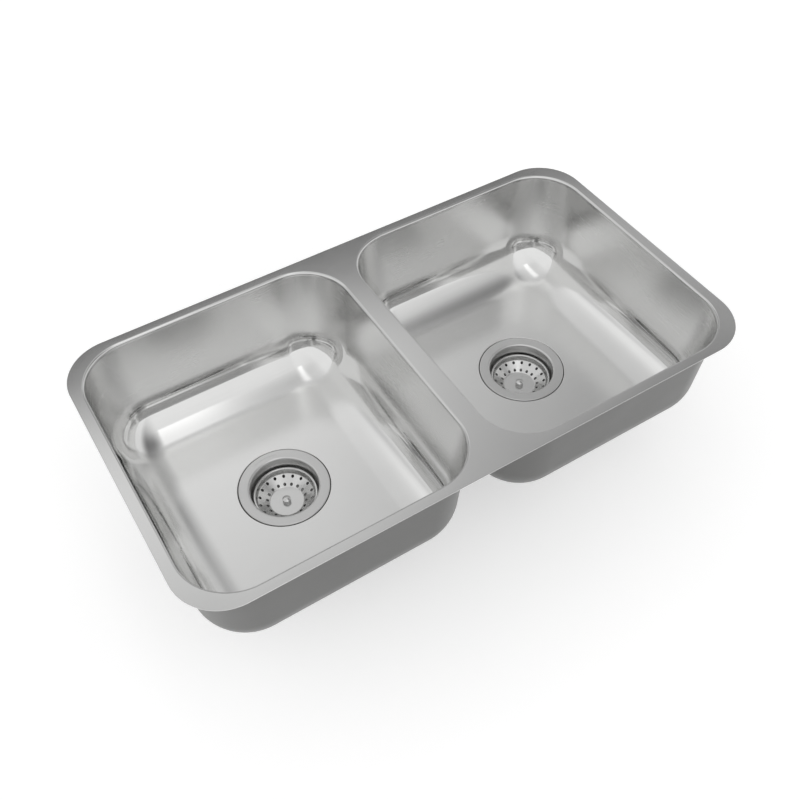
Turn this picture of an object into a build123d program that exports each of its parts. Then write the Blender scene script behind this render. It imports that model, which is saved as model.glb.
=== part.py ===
from build123d import *
from math import radians, tan
import os

# Undermount double bowl kitchen sink in sheet steel: one flat rim plate, two deep-drawn bowls
# welded under it, and a 3 1/2 inch basket strainer waste in each bowl.
# Millimetres. +X along the length, +Y to the back, +Z up.
# The origin is the centre of the rim's top face, in the middle of the divider.

# Rim plate
rim_length = 730.0
rim_width = 401.0
rim_corner = 59.5  # outer corner radius
rim_sheet = 1.0
roll_radius = 3.0  # the openings' edges roll down over this radius
collar_height = 2.0  # straight part of the turned-down edge, above the weld seam

# Bowls
bowl_length = 336.0  # opening along X
bowl_width = 374.0  # opening along Y
bowl_corner = 63.0  # corner radius, the same from the opening down to the foot
bowl_depth = 150.0  # rim face to floor
bowl_sheet = 0.8
bowl_draft = 3.3  # degrees that the walls lean in
bowl_foot_radius = 60.0  # wall to floor
divider_width = 28.0

# Recess for the strainer in each bowl's floor
waste_hole_radius = 45.0
recess_gap = 2.5  # flange edge to the foot of the recess wall
recess_wall_run = 2.4  # the recess wall slopes out over this distance
recess_blend = 1.6
recess_margin = 6.0  # floor rebuilt round the recess

# Sound-deadening pads under the bowls
pad_thickness = 2.5
pad_length = 200.0
pad_width = 236.0
pad_corner = 30.0
pad_hole_gap = 8.0  # pad to the edge of the recess pressing

# Strainer cup, one pressing with its flange
flange_radius = 57.0
flange_proud = 0.5  # flange face above the bowl's floor
flange_curl = 1.8  # height of the flange's turned-down edge
flange_curl_radius = 1.2
cup_sheet = 0.9
mouth_radius = 42.7
mouth_lip_radius = 3.0
cup_wall_lean = 0.9  # the wall draws in by this down to the seat
cup_foot_radius = 8.0
cup_depth = 43.2  # flange face to the stopper's seat
outlet_radius = 18.5
outlet_depth = 6.0  # seat to the spider that holds the screw
outlet_lean = 0.5
window_outer_gap = 1.6
window_inner_radius = 9.6
window_count = 4
spoke_width = 4.0
window_blend = 1.2

# Seals
seal_thickness = 2.0
seal_inner_radius = 46.0
seal_outer_radius = 55.2
gasket_thickness = 3.0
gasket_inner_radius = 45.0
gasket_outer_radius = 54.0

# Waste body, moulded
body_bore_radius = 45.0
body_wall = 3.0
body_ring_radius = 54.0
body_ring_thickness = 4.0
body_barrel_depth = 40.0  # ring top to the start of the funnel
funnel_height = 18.0
tail_bore_radius = 19.5
tail_radius = 23.9  # 1 1/2 inch pipe thread, over its crests
tail_neck_radius = 22.6
tail_neck_length = 6.0
tail_length = 30.0
tail_chamfer = 1.0
grip_rib_count = 8
grip_rib_thickness = 2.6
hub_radius = 11.0
hub_height = 22.0
hub_clearance = 0.5  # spider to hub, closed only by the seals' give
hub_rib_count = 4
hub_rib_thickness = 3.0
hub_rib_height = 14.0
insert_flats = 16.0  # across flats
insert_height = 12.0
insert_drop = 6.0  # hub top to insert top

# Clamp screw, hollow at the top for the basket's post
screw_radius = 5.0
screw_hole_clearance = 0.3
thread_clearance = 0.05
screw_tail = 2.0  # shank past the insert
screw_head_radius = 8.5
screw_head_height = 5.0
screw_head_chamfer = 0.8
screw_slot_width = 2.0
screw_slot_depth = 1.8
socket_depth = 18.0
socket_clearance = 0.05  # running fit of the post

# Basket
basket_rim_drop = 15.5  # flange face to basket rim
basket_disc_drop = 33.0  # flange face to the basket's flat middle
basket_sheet = 0.7
basket_gap = 2.5  # basket rim to the cup's mouth
basket_curl = 2.0
basket_curl_radius = 0.8
basket_ledge = 2.8  # flat ring at the basket's rim
basket_wall_lean = 1.2
basket_cone_top_drop = 23.4  # flange face to the top of the perforated cone
basket_disc_radius = 21.4
basket_ledge_blend = 1.4
basket_cone_blend = 2.0
inner_row_radius = 24.4
outer_row_radius = 33.2
holes_in_row = 18
first_hole_angle = 8.5
drain_hole_radius = 1.85

# Knob, riveted to the middle of the basket
knob_radius = 5.2
knob_waist_radius = 4.2
knob_height = 6.5
knob_foot_height = 0.9
knob_dome = 1.4

# Post that the basket turns on, and the stopper on it
post_radius = 3.0
post_tip_drop = 55.0  # flange face to the post's tip, with the stopper raised
post_tip_chamfer = 0.8
neck_radius = 1.8
neck_clearance = 0.1
head_radius = 2.6
head_height = 1.5
head_clearance = 0.2
shoulder_radius = 6.0
shoulder_height = 1.5
shoulder_gap = 0.3
keeper_radius = 5.0
keeper_height = 1.2
stopper_radius = 22.3
stopper_plate = 2.2
stopper_lip_height = 0.5
stopper_lip_width = 3.4
stopper_chamfer = 0.8

# Heights worked out from the sizes above
seam_z = -(roll_radius + collar_height)
floor_z = -bowl_depth
flange_z = floor_z + flange_proud
recess_z = flange_z - cup_sheet - seal_thickness
gasket_top_z = recess_z - bowl_sheet
body_top_z = gasket_top_z - gasket_thickness
seat_z = flange_z - cup_depth
spider_z = seat_z - outlet_depth
hub_top_z = spider_z - cup_sheet - hub_clearance
insert_top_z = hub_top_z - insert_drop
insert_foot_z = insert_top_z - insert_height
funnel_top_z = body_top_z - body_barrel_depth
funnel_foot_z = funnel_top_z - funnel_height
tail_foot_z = funnel_foot_z - tail_length
disc_z = flange_z - basket_disc_drop
shoulder_top_z = disc_z - basket_sheet - shoulder_gap
stopper_top_z = shoulder_top_z - shoulder_height
keeper_top_z = stopper_top_z - stopper_plate
bowl_x = (bowl_length + divider_width) / 2


def section_at(x):
    """Upright plane through a bowl's centre, on which round pieces are drawn."""
    return Plane.XZ.move(Location((x, 0, 0)))


def upright_axis(x):
    """The centre line of a bowl and of everything in its waste."""
    return Axis((x, 0, 0), (0, 0, 1))


def level_plane(x, z):
    """Level plane over a bowl's centre at a height."""
    return Plane.XY.move(Location((x, 0, z)))


def opening(grow, mode=Mode.ADD, lean=0.0):
    """Outline of a bowl's opening, grown outwards, its sides moved in by the walls' lean."""
    reach = 2 * (grow - lean)
    RectangleRounded(bowl_length + reach, bowl_width + reach, bowl_corner + grow, mode=mode)


def bowl_form(x, grow):
    """Solid that fills a bowl, grown outwards by a wall."""
    foot_z = floor_z - grow
    lean = (seam_z - foot_z) * tan(radians(bowl_draft))
    with BuildPart() as form:
        with BuildSketch(level_plane(x, seam_z)):
            opening(grow)
        with BuildSketch(level_plane(x, foot_z)):
            opening(grow, lean=lean)
        loft()
        fillet(form.faces().sort_by(Axis.Z)[0].edges(), bowl_foot_radius + grow)
    return form.part


def rolled_edge(x):
    """Turned-down edge of one opening: flat land, quarter round and straight collar."""
    land = roll_radius + rim_sheet
    with BuildPart() as hollow:
        with BuildSketch(level_plane(x, seam_z)):
            opening(land)
            opening(rim_sheet, Mode.SUBTRACT)
        extrude(amount=-seam_z - rim_sheet)
        hollow_top = hollow.faces().sort_by(Axis.Z)[-1]
        fillet(hollow_top.inner_wires().edges(), roll_radius - rim_sheet)
    with BuildPart() as edge:
        with BuildSketch(level_plane(x, seam_z)):
            opening(land)
            opening(0, Mode.SUBTRACT)
        extrude(amount=-seam_z)
        edge_top = edge.faces().sort_by(Axis.Z)[-1]
        fillet(edge_top.inner_wires().edges(), roll_radius)
        add(hollow.part, mode=Mode.SUBTRACT)
    return edge.part


def make_rim():
    """Flat rim plate, its two openings turned down to the weld seams."""
    edges = [rolled_edge(-bowl_x), rolled_edge(bowl_x)]
    with BuildPart() as rim:
        with BuildSketch():
            RectangleRounded(rim_length, rim_width, rim_corner)
            with Locations((-bowl_x, 0), (bowl_x, 0)):
                opening(roll_radius + rim_sheet, Mode.SUBTRACT)
        extrude(amount=-rim_sheet)
        add(edges)
    return rim.part


def make_bowl(x):
    """Drawn bowl: leaning walls, a wide foot radius and a recess for the strainer."""
    outside = bowl_form(x, bowl_sheet)
    inside = bowl_form(x, 0)
    foot = flange_radius + recess_gap
    shoulder = foot + recess_wall_run
    edge = shoulder + recess_margin
    with BuildPart() as bowl:
        add(outside)
        add(inside, mode=Mode.SUBTRACT)
        with BuildSketch(level_plane(x, floor_z)):
            Circle(edge)
        extrude(amount=-2 * bowl_sheet, mode=Mode.SUBTRACT)
        with BuildSketch(section_at(x)):
            with BuildLine():
                FilletPolyline(
                    (waste_hole_radius, recess_z),
                    (foot, recess_z),
                    (shoulder, floor_z),
                    (edge, floor_z),
                    radius=recess_blend,
                )
                offset(amount=bowl_sheet, side=Side.RIGHT)
            make_face()
        revolve(axis=upright_axis(x))
    return bowl.part


def make_sound_pad(x):
    """Rubber pad glued under a bowl's flat floor, open round the waste."""
    hole = flange_radius + recess_gap + recess_wall_run + pad_hole_gap
    with BuildPart() as pad:
        with BuildSketch(level_plane(x, floor_z - bowl_sheet)):
            RectangleRounded(pad_length, pad_width, pad_corner)
            Circle(hole, mode=Mode.SUBTRACT)
        extrude(amount=-pad_thickness)
    return pad.part


def make_ring(x, top_z, inner_radius, outer_radius, thickness):
    """Flat ring round a waste's centre line."""
    with BuildPart() as ring:
        with BuildSketch(level_plane(x, top_z)):
            Circle(outer_radius)
            Circle(inner_radius, mode=Mode.SUBTRACT)
        extrude(amount=-thickness)
    return ring.part


def make_strainer_cup(x):
    """Pressed cup: flange, rolled mouth, wall, stopper's seat and the spider under it."""
    wall_foot = mouth_radius - cup_wall_lean
    window_radius = outlet_radius - outlet_lean - window_outer_gap
    with BuildPart() as cup:
        with BuildSketch(section_at(x)):
            with BuildLine():
                FilletPolyline(
                    (flange_radius, flange_z - flange_curl),
                    (flange_radius, flange_z),
                    (mouth_radius, flange_z),
                    (wall_foot, seat_z),
                    (outlet_radius, seat_z),
                    radius=(flange_curl_radius, mouth_lip_radius, cup_foot_radius),
                )
                Polyline(
                    (outlet_radius, seat_z),
                    (outlet_radius - outlet_lean, spider_z),
                    (screw_radius + screw_hole_clearance, spider_z),
                )
                offset(amount=cup_sheet, side=Side.LEFT)
            make_face()
        revolve(axis=upright_axis(x))
        # Drain windows between the spokes that carry the screw
        with BuildSketch(level_plane(x, spider_z)) as windows:
            Circle(window_radius)
            Circle(window_inner_radius, mode=Mode.SUBTRACT)
            with PolarLocations(0, window_count):
                with Locations((window_radius, 0)):
                    Rectangle(2 * window_radius, spoke_width, mode=Mode.SUBTRACT)
            fillet(windows.vertices(), window_blend)
        extrude(amount=-2 * cup_sheet, mode=Mode.SUBTRACT)
    return cup.part


def make_waste_body(x):
    """Moulded body that hangs under the bowl: ring, barrel, funnel, threaded tail and hub."""
    barrel_radius = body_bore_radius + body_wall
    with BuildPart() as body:
        with BuildSketch(section_at(x)) as section:
            with BuildLine():
                Polyline(
                    (body_bore_radius, body_top_z),
                    (body_ring_radius, body_top_z),
                    (body_ring_radius, body_top_z - body_ring_thickness),
                    (barrel_radius, body_top_z - body_ring_thickness),
                    (barrel_radius, funnel_top_z),
                    (tail_neck_radius, funnel_foot_z),
                    (tail_neck_radius, funnel_foot_z - tail_neck_length),
                    (tail_radius, funnel_foot_z - tail_neck_length),
                    (tail_radius, tail_foot_z + tail_chamfer),
                    (tail_radius - tail_chamfer, tail_foot_z),
                    (tail_bore_radius, tail_foot_z),
                    (tail_bore_radius, funnel_foot_z),
                    (body_bore_radius, funnel_top_z),
                    close=True,
                )
            make_face()
        revolve(axis=upright_axis(x))
        # Grip ribs outside the barrel
        rib_height = body_barrel_depth - body_ring_thickness
        rib_depth = body_ring_radius - barrel_radius + body_wall / 2
        with BuildSketch(level_plane(x, body_top_z - body_ring_thickness)):
            with PolarLocations(barrel_radius - body_wall / 2 + rib_depth / 2, grip_rib_count):
                Rectangle(rib_depth, grip_rib_thickness)
        extrude(amount=-rib_height)
        # Hub on its ribs inside the funnel
        with BuildSketch(level_plane(x, hub_top_z)):
            Circle(hub_radius)
        extrude(amount=-hub_height)
        rib_foot_z = hub_top_z - hub_height
        rib_length = tail_bore_radius + tail_neck_radius
        with BuildSketch(level_plane(x, rib_foot_z)):
            with PolarLocations(0, hub_rib_count // 2, angular_range=180):
                Rectangle(rib_length, hub_rib_thickness)
        extrude(amount=hub_rib_height)
        # Pocket for the brass insert, and the screw's way through
        with BuildSketch(level_plane(x, insert_top_z)):
            RegularPolygon(insert_flats / 2, 6, major_radius=False)
        extrude(amount=-insert_height, mode=Mode.SUBTRACT)
        with BuildSketch(level_plane(x, hub_top_z)):
            Circle(screw_radius + screw_hole_clearance)
        extrude(amount=-hub_height, mode=Mode.SUBTRACT)
    return body.part


def make_brass_insert(x):
    """Hexagonal threaded insert, moulded into the waste body's hub."""
    with BuildPart() as insert:
        with BuildSketch(level_plane(x, insert_top_z)):
            RegularPolygon(insert_flats / 2, 6, major_radius=False)
            Circle(screw_radius + thread_clearance, mode=Mode.SUBTRACT)
        extrude(amount=-insert_height)
    return insert.part


def make_clamp_screw(x):
    """Slotted screw that clamps the waste, with a socket for the basket's post in its head."""
    head_top = spider_z + screw_head_height
    shank_foot = insert_foot_z - screw_tail
    with BuildPart() as screw:
        with BuildSketch(section_at(x)):
            with BuildLine():
                Polyline(
                    (post_radius + socket_clearance, head_top),
                    (screw_head_radius - screw_head_chamfer, head_top),
                    (screw_head_radius, head_top - screw_head_chamfer),
                    (screw_head_radius, spider_z),
                    (screw_radius, spider_z),
                    (screw_radius, shank_foot),
                    (0, shank_foot),
                    (0, head_top - socket_depth),
                    (post_radius + socket_clearance, head_top - socket_depth),
                    close=True,
                )
            make_face()
        revolve(axis=upright_axis(x))
        with BuildSketch(level_plane(x, head_top)):
            Rectangle(screw_slot_width, 2 * screw_head_radius)
        extrude(amount=-screw_slot_depth, mode=Mode.SUBTRACT)
    return screw.part


def make_basket(x):
    """Pressed basket with two rows of drain holes round its cone."""
    rim_z = flange_z - basket_rim_drop
    rim_radius = mouth_radius - basket_gap
    ledge_radius = rim_radius - basket_ledge
    with BuildPart() as basket:
        with BuildSketch(section_at(x)):
            with BuildLine():
                FilletPolyline(
                    (rim_radius, rim_z - basket_curl),
                    (rim_radius, rim_z),
                    (ledge_radius, rim_z),
                    (ledge_radius - basket_wall_lean, flange_z - basket_cone_top_drop),
                    (basket_disc_radius, disc_z),
                    (neck_radius + neck_clearance, disc_z),
                    radius=(
                        basket_curl_radius,
                        basket_ledge_blend,
                        basket_cone_blend,
                        basket_cone_blend,
                    ),
                )
                offset(amount=basket_sheet, side=Side.LEFT)
            make_face()
        revolve(axis=upright_axis(x))
        with BuildSketch(level_plane(x, rim_z)):
            with PolarLocations(inner_row_radius, holes_in_row, start_angle=first_hole_angle):
                Circle(drain_hole_radius)
            with PolarLocations(outer_row_radius, holes_in_row, start_angle=first_hole_angle):
                Circle(drain_hole_radius)
        extrude(amount=disc_z - basket_sheet - rim_z, mode=Mode.SUBTRACT)
    return basket.part


def make_knob(x):
    """Finger knob riveted over the basket's middle, hollow below for the post's head."""
    room_radius = head_radius + head_clearance
    room_top = disc_z + head_clearance + head_height + head_clearance
    foot_top = disc_z + knob_foot_height
    knob_top = disc_z + knob_height
    dome_foot = knob_top - knob_dome
    dome_radius = (knob_radius**2 + knob_dome**2) / (2 * knob_dome)
    with BuildPart() as knob:
        with BuildSketch(section_at(x)):
            with BuildLine():
                Polyline(
                    (0, room_top),
                    (room_radius, room_top),
                    (room_radius, disc_z),
                    (knob_radius, disc_z),
                    (knob_radius, foot_top),
                )
                ThreePointArc(
                    (knob_radius, foot_top),
                    (knob_waist_radius, (foot_top + dome_foot) / 2),
                    (knob_radius, dome_foot),
                )
                RadiusArc((knob_radius, dome_foot), (0, knob_top), -dome_radius)
                Line((0, knob_top), (0, room_top))
            make_face()
        revolve(axis=upright_axis(x))
    return knob.part


def make_post(x):
    """Post on which the basket turns; its tip slides in the clamp screw's socket."""
    head_foot = disc_z + head_clearance
    tip_z = flange_z - post_tip_drop
    with BuildPart() as post:
        with BuildSketch(section_at(x)):
            with BuildLine():
                Polyline(
                    (0, head_foot + head_height),
                    (head_radius, head_foot + head_height),
                    (head_radius, head_foot),
                    (neck_radius, head_foot),
                    (neck_radius, shoulder_top_z),
                    (shoulder_radius, shoulder_top_z),
                    (shoulder_radius, stopper_top_z),
                    (post_radius, stopper_top_z),
                    (post_radius, keeper_top_z),
                    (keeper_radius, keeper_top_z),
                    (keeper_radius, keeper_top_z - keeper_height),
                    (post_radius, keeper_top_z - keeper_height),
                    (post_radius, tip_z + post_tip_chamfer),
                    (post_radius - post_tip_chamfer, tip_z),
                    (0, tip_z),
                    close=True,
                )
            make_face()
        revolve(axis=upright_axis(x))
    return post.part


def make_stopper(x):
    """Rubber disc on the post, with a lip that closes on the cup's seat."""
    lip_foot = keeper_top_z - stopper_lip_height
    lip_inner = stopper_radius - stopper_lip_width
    with BuildPart() as stopper:
        with BuildSketch(section_at(x)):
            with BuildLine():
                Polyline(
                    (post_radius, stopper_top_z),
                    (stopper_radius - stopper_chamfer, stopper_top_z),
                    (stopper_radius, stopper_top_z - stopper_chamfer),
                    (stopper_radius, lip_foot),
                    (lip_inner, lip_foot),
                    (lip_inner, keeper_top_z),
                    (post_radius, keeper_top_z),
                    close=True,
                )
            make_face()
        revolve(axis=upright_axis(x))
    return stopper.part


def save(part, name):
    """Name a finished piece and write it out."""
    part.label = name
    export_step(part, f"parts/{name}.step")


os.makedirs("parts", exist_ok=True)
save(make_rim(), "rim")
for side, x in (("left", -bowl_x), ("right", bowl_x)):
    save(make_bowl(x), f"{side}_bowl")
    save(make_sound_pad(x), f"{side}_sound_pad")
    save(make_strainer_cup(x), f"{side}_strainer_cup")
    seal = make_ring(
        x, flange_z - cup_sheet, seal_inner_radius, seal_outer_radius, seal_thickness
    )
    save(seal, f"{side}_flange_seal")
    gasket = make_ring(
        x, gasket_top_z, gasket_inner_radius, gasket_outer_radius, gasket_thickness
    )
    save(gasket, f"{side}_body_gasket")
    save(make_waste_body(x), f"{side}_waste_body")
    save(make_brass_insert(x), f"{side}_brass_insert")
    save(make_clamp_screw(x), f"{side}_clamp_screw")
    save(make_basket(x), f"{side}_basket")
    save(make_knob(x), f"{side}_knob")
    save(make_post(x), f"{side}_post")
    save(make_stopper(x), f"{side}_stopper")
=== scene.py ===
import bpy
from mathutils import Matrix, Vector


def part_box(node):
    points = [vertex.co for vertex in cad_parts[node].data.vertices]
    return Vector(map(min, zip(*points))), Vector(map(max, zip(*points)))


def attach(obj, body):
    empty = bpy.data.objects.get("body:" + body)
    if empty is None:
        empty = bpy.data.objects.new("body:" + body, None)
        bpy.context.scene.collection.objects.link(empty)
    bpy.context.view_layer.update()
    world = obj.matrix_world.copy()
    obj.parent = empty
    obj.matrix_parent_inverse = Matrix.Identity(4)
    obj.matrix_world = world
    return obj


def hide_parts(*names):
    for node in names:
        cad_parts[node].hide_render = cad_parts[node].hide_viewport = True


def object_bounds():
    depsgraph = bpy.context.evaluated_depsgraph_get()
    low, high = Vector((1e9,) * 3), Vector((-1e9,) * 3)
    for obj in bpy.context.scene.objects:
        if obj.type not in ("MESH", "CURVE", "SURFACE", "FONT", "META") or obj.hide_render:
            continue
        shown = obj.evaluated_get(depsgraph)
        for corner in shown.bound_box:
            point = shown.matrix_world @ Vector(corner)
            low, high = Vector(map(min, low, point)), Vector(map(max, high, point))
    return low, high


bl_info = {
    "name": "Double Bowl Kitchen Sink",
    "version": (1, 0, 0),
    "blender": (4, 5, 0),
    "location": "3D View > Sidebar > Sink",
    "description": "Builds the shown pieces of an undermount double bowl sink on its CAD frame",
    "category": "Add Mesh",
}

import math

import bmesh
import bpy
from bpy.props import FloatProperty, FloatVectorProperty, IntProperty, PointerProperty
from mathutils import Matrix, Vector

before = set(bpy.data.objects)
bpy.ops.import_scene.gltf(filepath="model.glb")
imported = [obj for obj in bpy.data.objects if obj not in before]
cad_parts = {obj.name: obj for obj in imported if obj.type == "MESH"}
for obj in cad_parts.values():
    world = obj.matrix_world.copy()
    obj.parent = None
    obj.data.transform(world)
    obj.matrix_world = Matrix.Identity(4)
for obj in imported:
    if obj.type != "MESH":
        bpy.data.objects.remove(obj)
cad_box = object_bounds()

SIDES = ("left", "right")
WELD = 1e-6  # points nearer than this are one
SHARP = math.radians(38)  # folds sharper than this aren't shaded smooth
FINISH = "sink_"  # before the names of the materials made here
MIX_SOCKETS = {"FLOAT": (2, 3, 0), "RGBA": (6, 7, 2)}  # a mix node's two values and its result

# The studio is a room with a flat wall on each side of the sink: the direction of the wall, and
# its grey by the elevation in degrees at which the middle of the wall shows it
SKY = (
    (
        (0.0, 1.0),
        ((0, 0.75), (8, 0.66), (18, 0.4), (34, 0.56), (39, 0.4), (41.5, 0.12), (45, 0.12))
        + ((48.5, 0.88), (53, 1.02), (58, 0.84), (62, 0.7), (68, 0.66), (90, 0.74)),
    ),
    ((-1.0, 0.0), ((0, 0.98), (50, 0.98), (60, 0.85), (90, 0.74))),
    ((0.0, -1.0), ((0, 0.9), (20, 1.0), (50, 0.97), (60, 0.95), (90, 0.74))),
    (
        (1.0, 0.0),
        ((0, 0.85), (36, 0.85), (44, 0.36), (50, 0.16), (54, 0.22), (62, 0.22), (68, 0.32))
        + ((78, 0.68), (90, 0.74)),
    ),
)
# Softboxes hung level over the sink: name, width, depth, place of the middle and grey
SOFTBOXES = (("overhead", 0.38, 1.6, (-0.02, -0.25, 1.9), 0.52),)

# The photo's camera: place, focal length for a sensor 36 mm wide, and its turn clockwise from
# +Y, tilt below level and roll in degrees
CAMERA_PLACE = (-0.4006, -0.6406, 0.8190)
CAMERA_LENS = 42.42
CAMERA_TURN, CAMERA_TILT, CAMERA_ROLL = 31.206, 50.557, -0.824

FLOOR_REACH = 8.0  # half the floor's side
FLOOR_LIFT = 0.42  # light that the floor adds where it is seen, which turns it white


def size(name, description, default):
    """A length that a user may change."""
    return FloatProperty(
        name=name, description=description, default=default, unit="LENGTH", precision=5
    )


def colour(name, description, default):
    """A colour that a user may change."""
    return FloatVectorProperty(
        name=name, description=description, default=default, subtype="COLOR", min=0.0, max=1.0
    )


def share(name, description, default):
    """A number from 0 to 1 that a user may change."""
    return FloatProperty(name=name, description=description, default=default, min=0.0, max=1.0)


def slant(name, description, degrees):
    """An angle that a user may change."""
    default = math.radians(degrees)
    return FloatProperty(name=name, description=description, default=default, unit="ROTATION")


def whole(name, description, default, least):
    """A whole number that a user may change."""
    return IntProperty(name=name, description=description, default=default, min=least)


class SinkShape(bpy.types.PropertyGroup):
    """Sizes of the rim plate and the bowls."""

    rim_corner: size("Rim corner", "Radius of the rim's outer corners", 0.0595)
    rim_sheet: size("Rim sheet", "Thickness of the rim plate", 0.001)
    roll: size("Roll", "Radius over which the openings' edges turn down", 0.003)
    collar: size("Collar", "Height of the turned-down edge over the weld", 0.002)
    bowl_corner: size("Bowl corner", "Radius of the bowls' upright corners", 0.063)
    bowl_sheet: size("Bowl sheet", "Thickness of the bowls", 0.0008)
    bowl_draft: slant("Bowl draft", "Lean of the bowls' walls", 3.3)
    bowl_foot: size("Bowl foot", "Radius between the walls and the floor", 0.06)
    flange_proud: size("Flange proud", "Flange face above the bowl's floor", 0.0005)
    recess_run: size("Recess run", "Width of the slope round the waste recess", 0.001)
    recess_gap: size("Recess gap", "From the flange to the recess's slope", 0.00015)
    recess_margin: size("Recess margin", "Floor redrawn round the recess", 0.006)
    recess_blend: size("Recess blend", "Rounding of the recess's slope", 0.0007)
    waste_hole: size("Waste hole", "Radius of the hole for the waste", 0.045)
    pad_corner: size("Pad corner", "Radius of the sound pads' corners", 0.03)
    pad_hole: size("Pad hole", "Radius of the pads' opening round the waste", 0.0724)
    corner_steps: whole("Corner steps", "Faces round each corner", 24, 6)
    side_steps: whole("Side steps", "Faces along each side", 24, 4)


class StrainerShape(bpy.types.PropertyGroup):
    """Sizes of the strainers' pressings and turned parts."""

    cup_sheet: size("Cup sheet", "Thickness of the strainer cup", 0.0009)
    curl: size("Flange curl", "Height of the flange's turned-down edge", 0.0018)
    mouth: size("Mouth", "Radius of the cup's mouth", 0.0427)
    mouth_lip: size("Mouth lip", "Rounding of the mouth", 0.003)
    cup_lean: size("Cup lean", "Draw of the cup's wall", 0.0009)
    cup_foot: size("Cup foot", "Radius at the foot of the cup's wall", 0.008)
    outlet: size("Outlet", "Radius of the outlet under the stopper", 0.0185)
    outlet_depth: size("Outlet depth", "From the seat to the spider", 0.006)
    basket_sheet: size("Basket sheet", "Thickness of the basket", 0.0007)
    basket_curl: size("Basket curl", "Height of the basket's turned-down rim", 0.002)
    basket_ledge: size("Basket ledge", "Width of the basket's flat ring", 0.0028)
    basket_lean: size("Basket lean", "Draw of the basket's short wall", 0.0012)
    cone_top_drop: size("Cone top", "Basket rim to the top of the perforated cone", 0.0079)
    disc_drop: size("Disc", "Basket rim to its flat middle", 0.0175)
    disc_radius: size("Disc radius", "Radius of the basket's flat middle", 0.0214)
    drain_hole: size("Drain hole", "Radius of the basket's holes", 0.00185)
    inner_row: size("Inner row", "Radius of the inner row of holes", 0.0244)
    outer_row: size("Outer row", "Radius of the outer row of holes", 0.0332)
    holes_in_row: whole("Holes in a row", "Drain holes in each row", 18, 3)
    first_hole: slant("First hole", "Turn of the rows from the length", 8.5)
    knob_waist: size("Knob waist", "Radius of the knob's waist", 0.0042)
    post: size("Post", "Radius of the post", 0.003)
    neck: size("Neck", "Radius of the post's neck", 0.0018)
    stopper_lip: size("Stopper lip", "Width of the stopper's sealing lip", 0.0034)
    lip_height: size("Lip height", "Height of the stopper's sealing lip", 0.0005)
    round_steps: whole("Steps round", "Faces round each round piece", 144, 36)


class WasteShape(bpy.types.PropertyGroup):
    """Sizes of the moulded waste bodies."""

    bore: size("Bore", "Radius inside the barrel", 0.045)
    wall: size("Wall", "Thickness of the barrel", 0.003)
    ring: size("Ring", "Thickness of the top ring", 0.004)
    barrel: size("Barrel", "Height of the ring and barrel", 0.04)
    funnel: size("Funnel", "Height of the funnel", 0.018)
    tail_bore: size("Tail bore", "Radius inside the outlet", 0.0195)
    tail: size("Tail", "Radius over the thread's crests", 0.0239)
    tail_root: size("Tail root", "Radius at the thread's roots", 0.0226)
    tail_neck: size("Tail neck", "Plain length over the thread", 0.006)
    pitch: size("Pitch", "Pitch of the outlet's thread", 0.002309)
    hub: size("Hub", "Radius of the hub", 0.011)
    hub_height: size("Hub height", "Height of the hub", 0.022)
    hub_rib: size("Hub rib", "Thickness of the hub's ribs", 0.003)
    grip_rib: size("Grip rib", "Thickness of the grip ribs", 0.0026)
    grip_ribs: whole("Grip ribs", "Ribs round the barrel", 8, 1)


class SinkFinish(bpy.types.PropertyGroup):
    """Colours and gloss of the materials."""

    rim_colour: colour("Rim steel", "Colour of the rim plate", (0.68, 0.68, 0.675))
    bowl_colour: colour("Bowl steel", "Colour inside the bowls", (0.77, 0.77, 0.764))
    # painted shade: the backs' colour is made dark to stand in for the dark surroundings that
    # their steel reflects
    shaded_back_colour: colour("Bowl back", "Colour of the bowls' unpolished backs", (0.17, 0.17, 0.167))
    strainer_colour: colour("Strainer steel", "Colour of the cups", (0.67, 0.67, 0.665))
    basket_colour: colour("Basket steel", "Colour of the baskets", (0.68, 0.68, 0.675))
    brass_colour: colour("Brass", "Colour of the threaded inserts", (0.62, 0.44, 0.18))
    rubber_colour: colour("Rubber", "Colour of seals and stoppers", (0.03, 0.03, 0.03))
    pad_colour: colour("Sound pad", "Colour of the pads", (0.11, 0.11, 0.115))
    plastic_colour: colour("Waste plastic", "Colour of the waste bodies", (0.74, 0.74, 0.71))
    floor_colour: colour("Floor", "Colour of the floor", (0.86, 0.86, 0.86))
    rim_gloss: share("Rim roughness", "Roughness of the rim", 0.17)
    wall_gloss: share("Wall roughness", "Roughness of the bowls' walls", 0.27)
    foot_gloss: share("Foot roughness", "Roughness of the bowls' rounded feet", 0.08)
    floor_gloss: share("Bowl floor roughness", "Roughness of the bowls' floors", 0.2)


# Materials


def start_material(name, base, roughness, metallic=0.0):
    """The node tree and shader of a new material, with its constants on their sockets."""
    material = bpy.data.materials.new(FINISH + name)
    material.use_nodes = True
    shader = material.node_tree.nodes["Principled BSDF"]
    shader.inputs["Base Color"].default_value = (*base, 1.0)
    shader.inputs["Roughness"].default_value = roughness
    shader.inputs["Metallic"].default_value = metallic
    material.diffuse_color = (*base, 1.0)
    return material.node_tree, shader


def add_node(tree, kind, inputs=None, **settings):
    """A node with its settings, values and links."""
    node = tree.nodes.new(kind)
    for key, value in settings.items():
        setattr(node, key, value)
    for socket, value in (inputs or {}).items():
        if isinstance(value, bpy.types.NodeSocket):
            tree.links.new(value, node.inputs[socket])
        else:
            node.inputs[socket].default_value = value
    return node


def maths(tree, operation, first, second=0.0):
    """One step of arithmetic."""
    return add_node(tree, "ShaderNodeMath", {0: first, 1: second}, operation=operation).outputs[0]


def vector_maths(tree, operation, first, second=(0.0, 0.0, 0.0)):
    """One step of arithmetic on directions."""
    node = add_node(tree, "ShaderNodeVectorMath", {0: first, 1: second}, operation=operation)
    return node.outputs["Value" if operation == "DOT_PRODUCT" else "Vector"]


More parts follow.
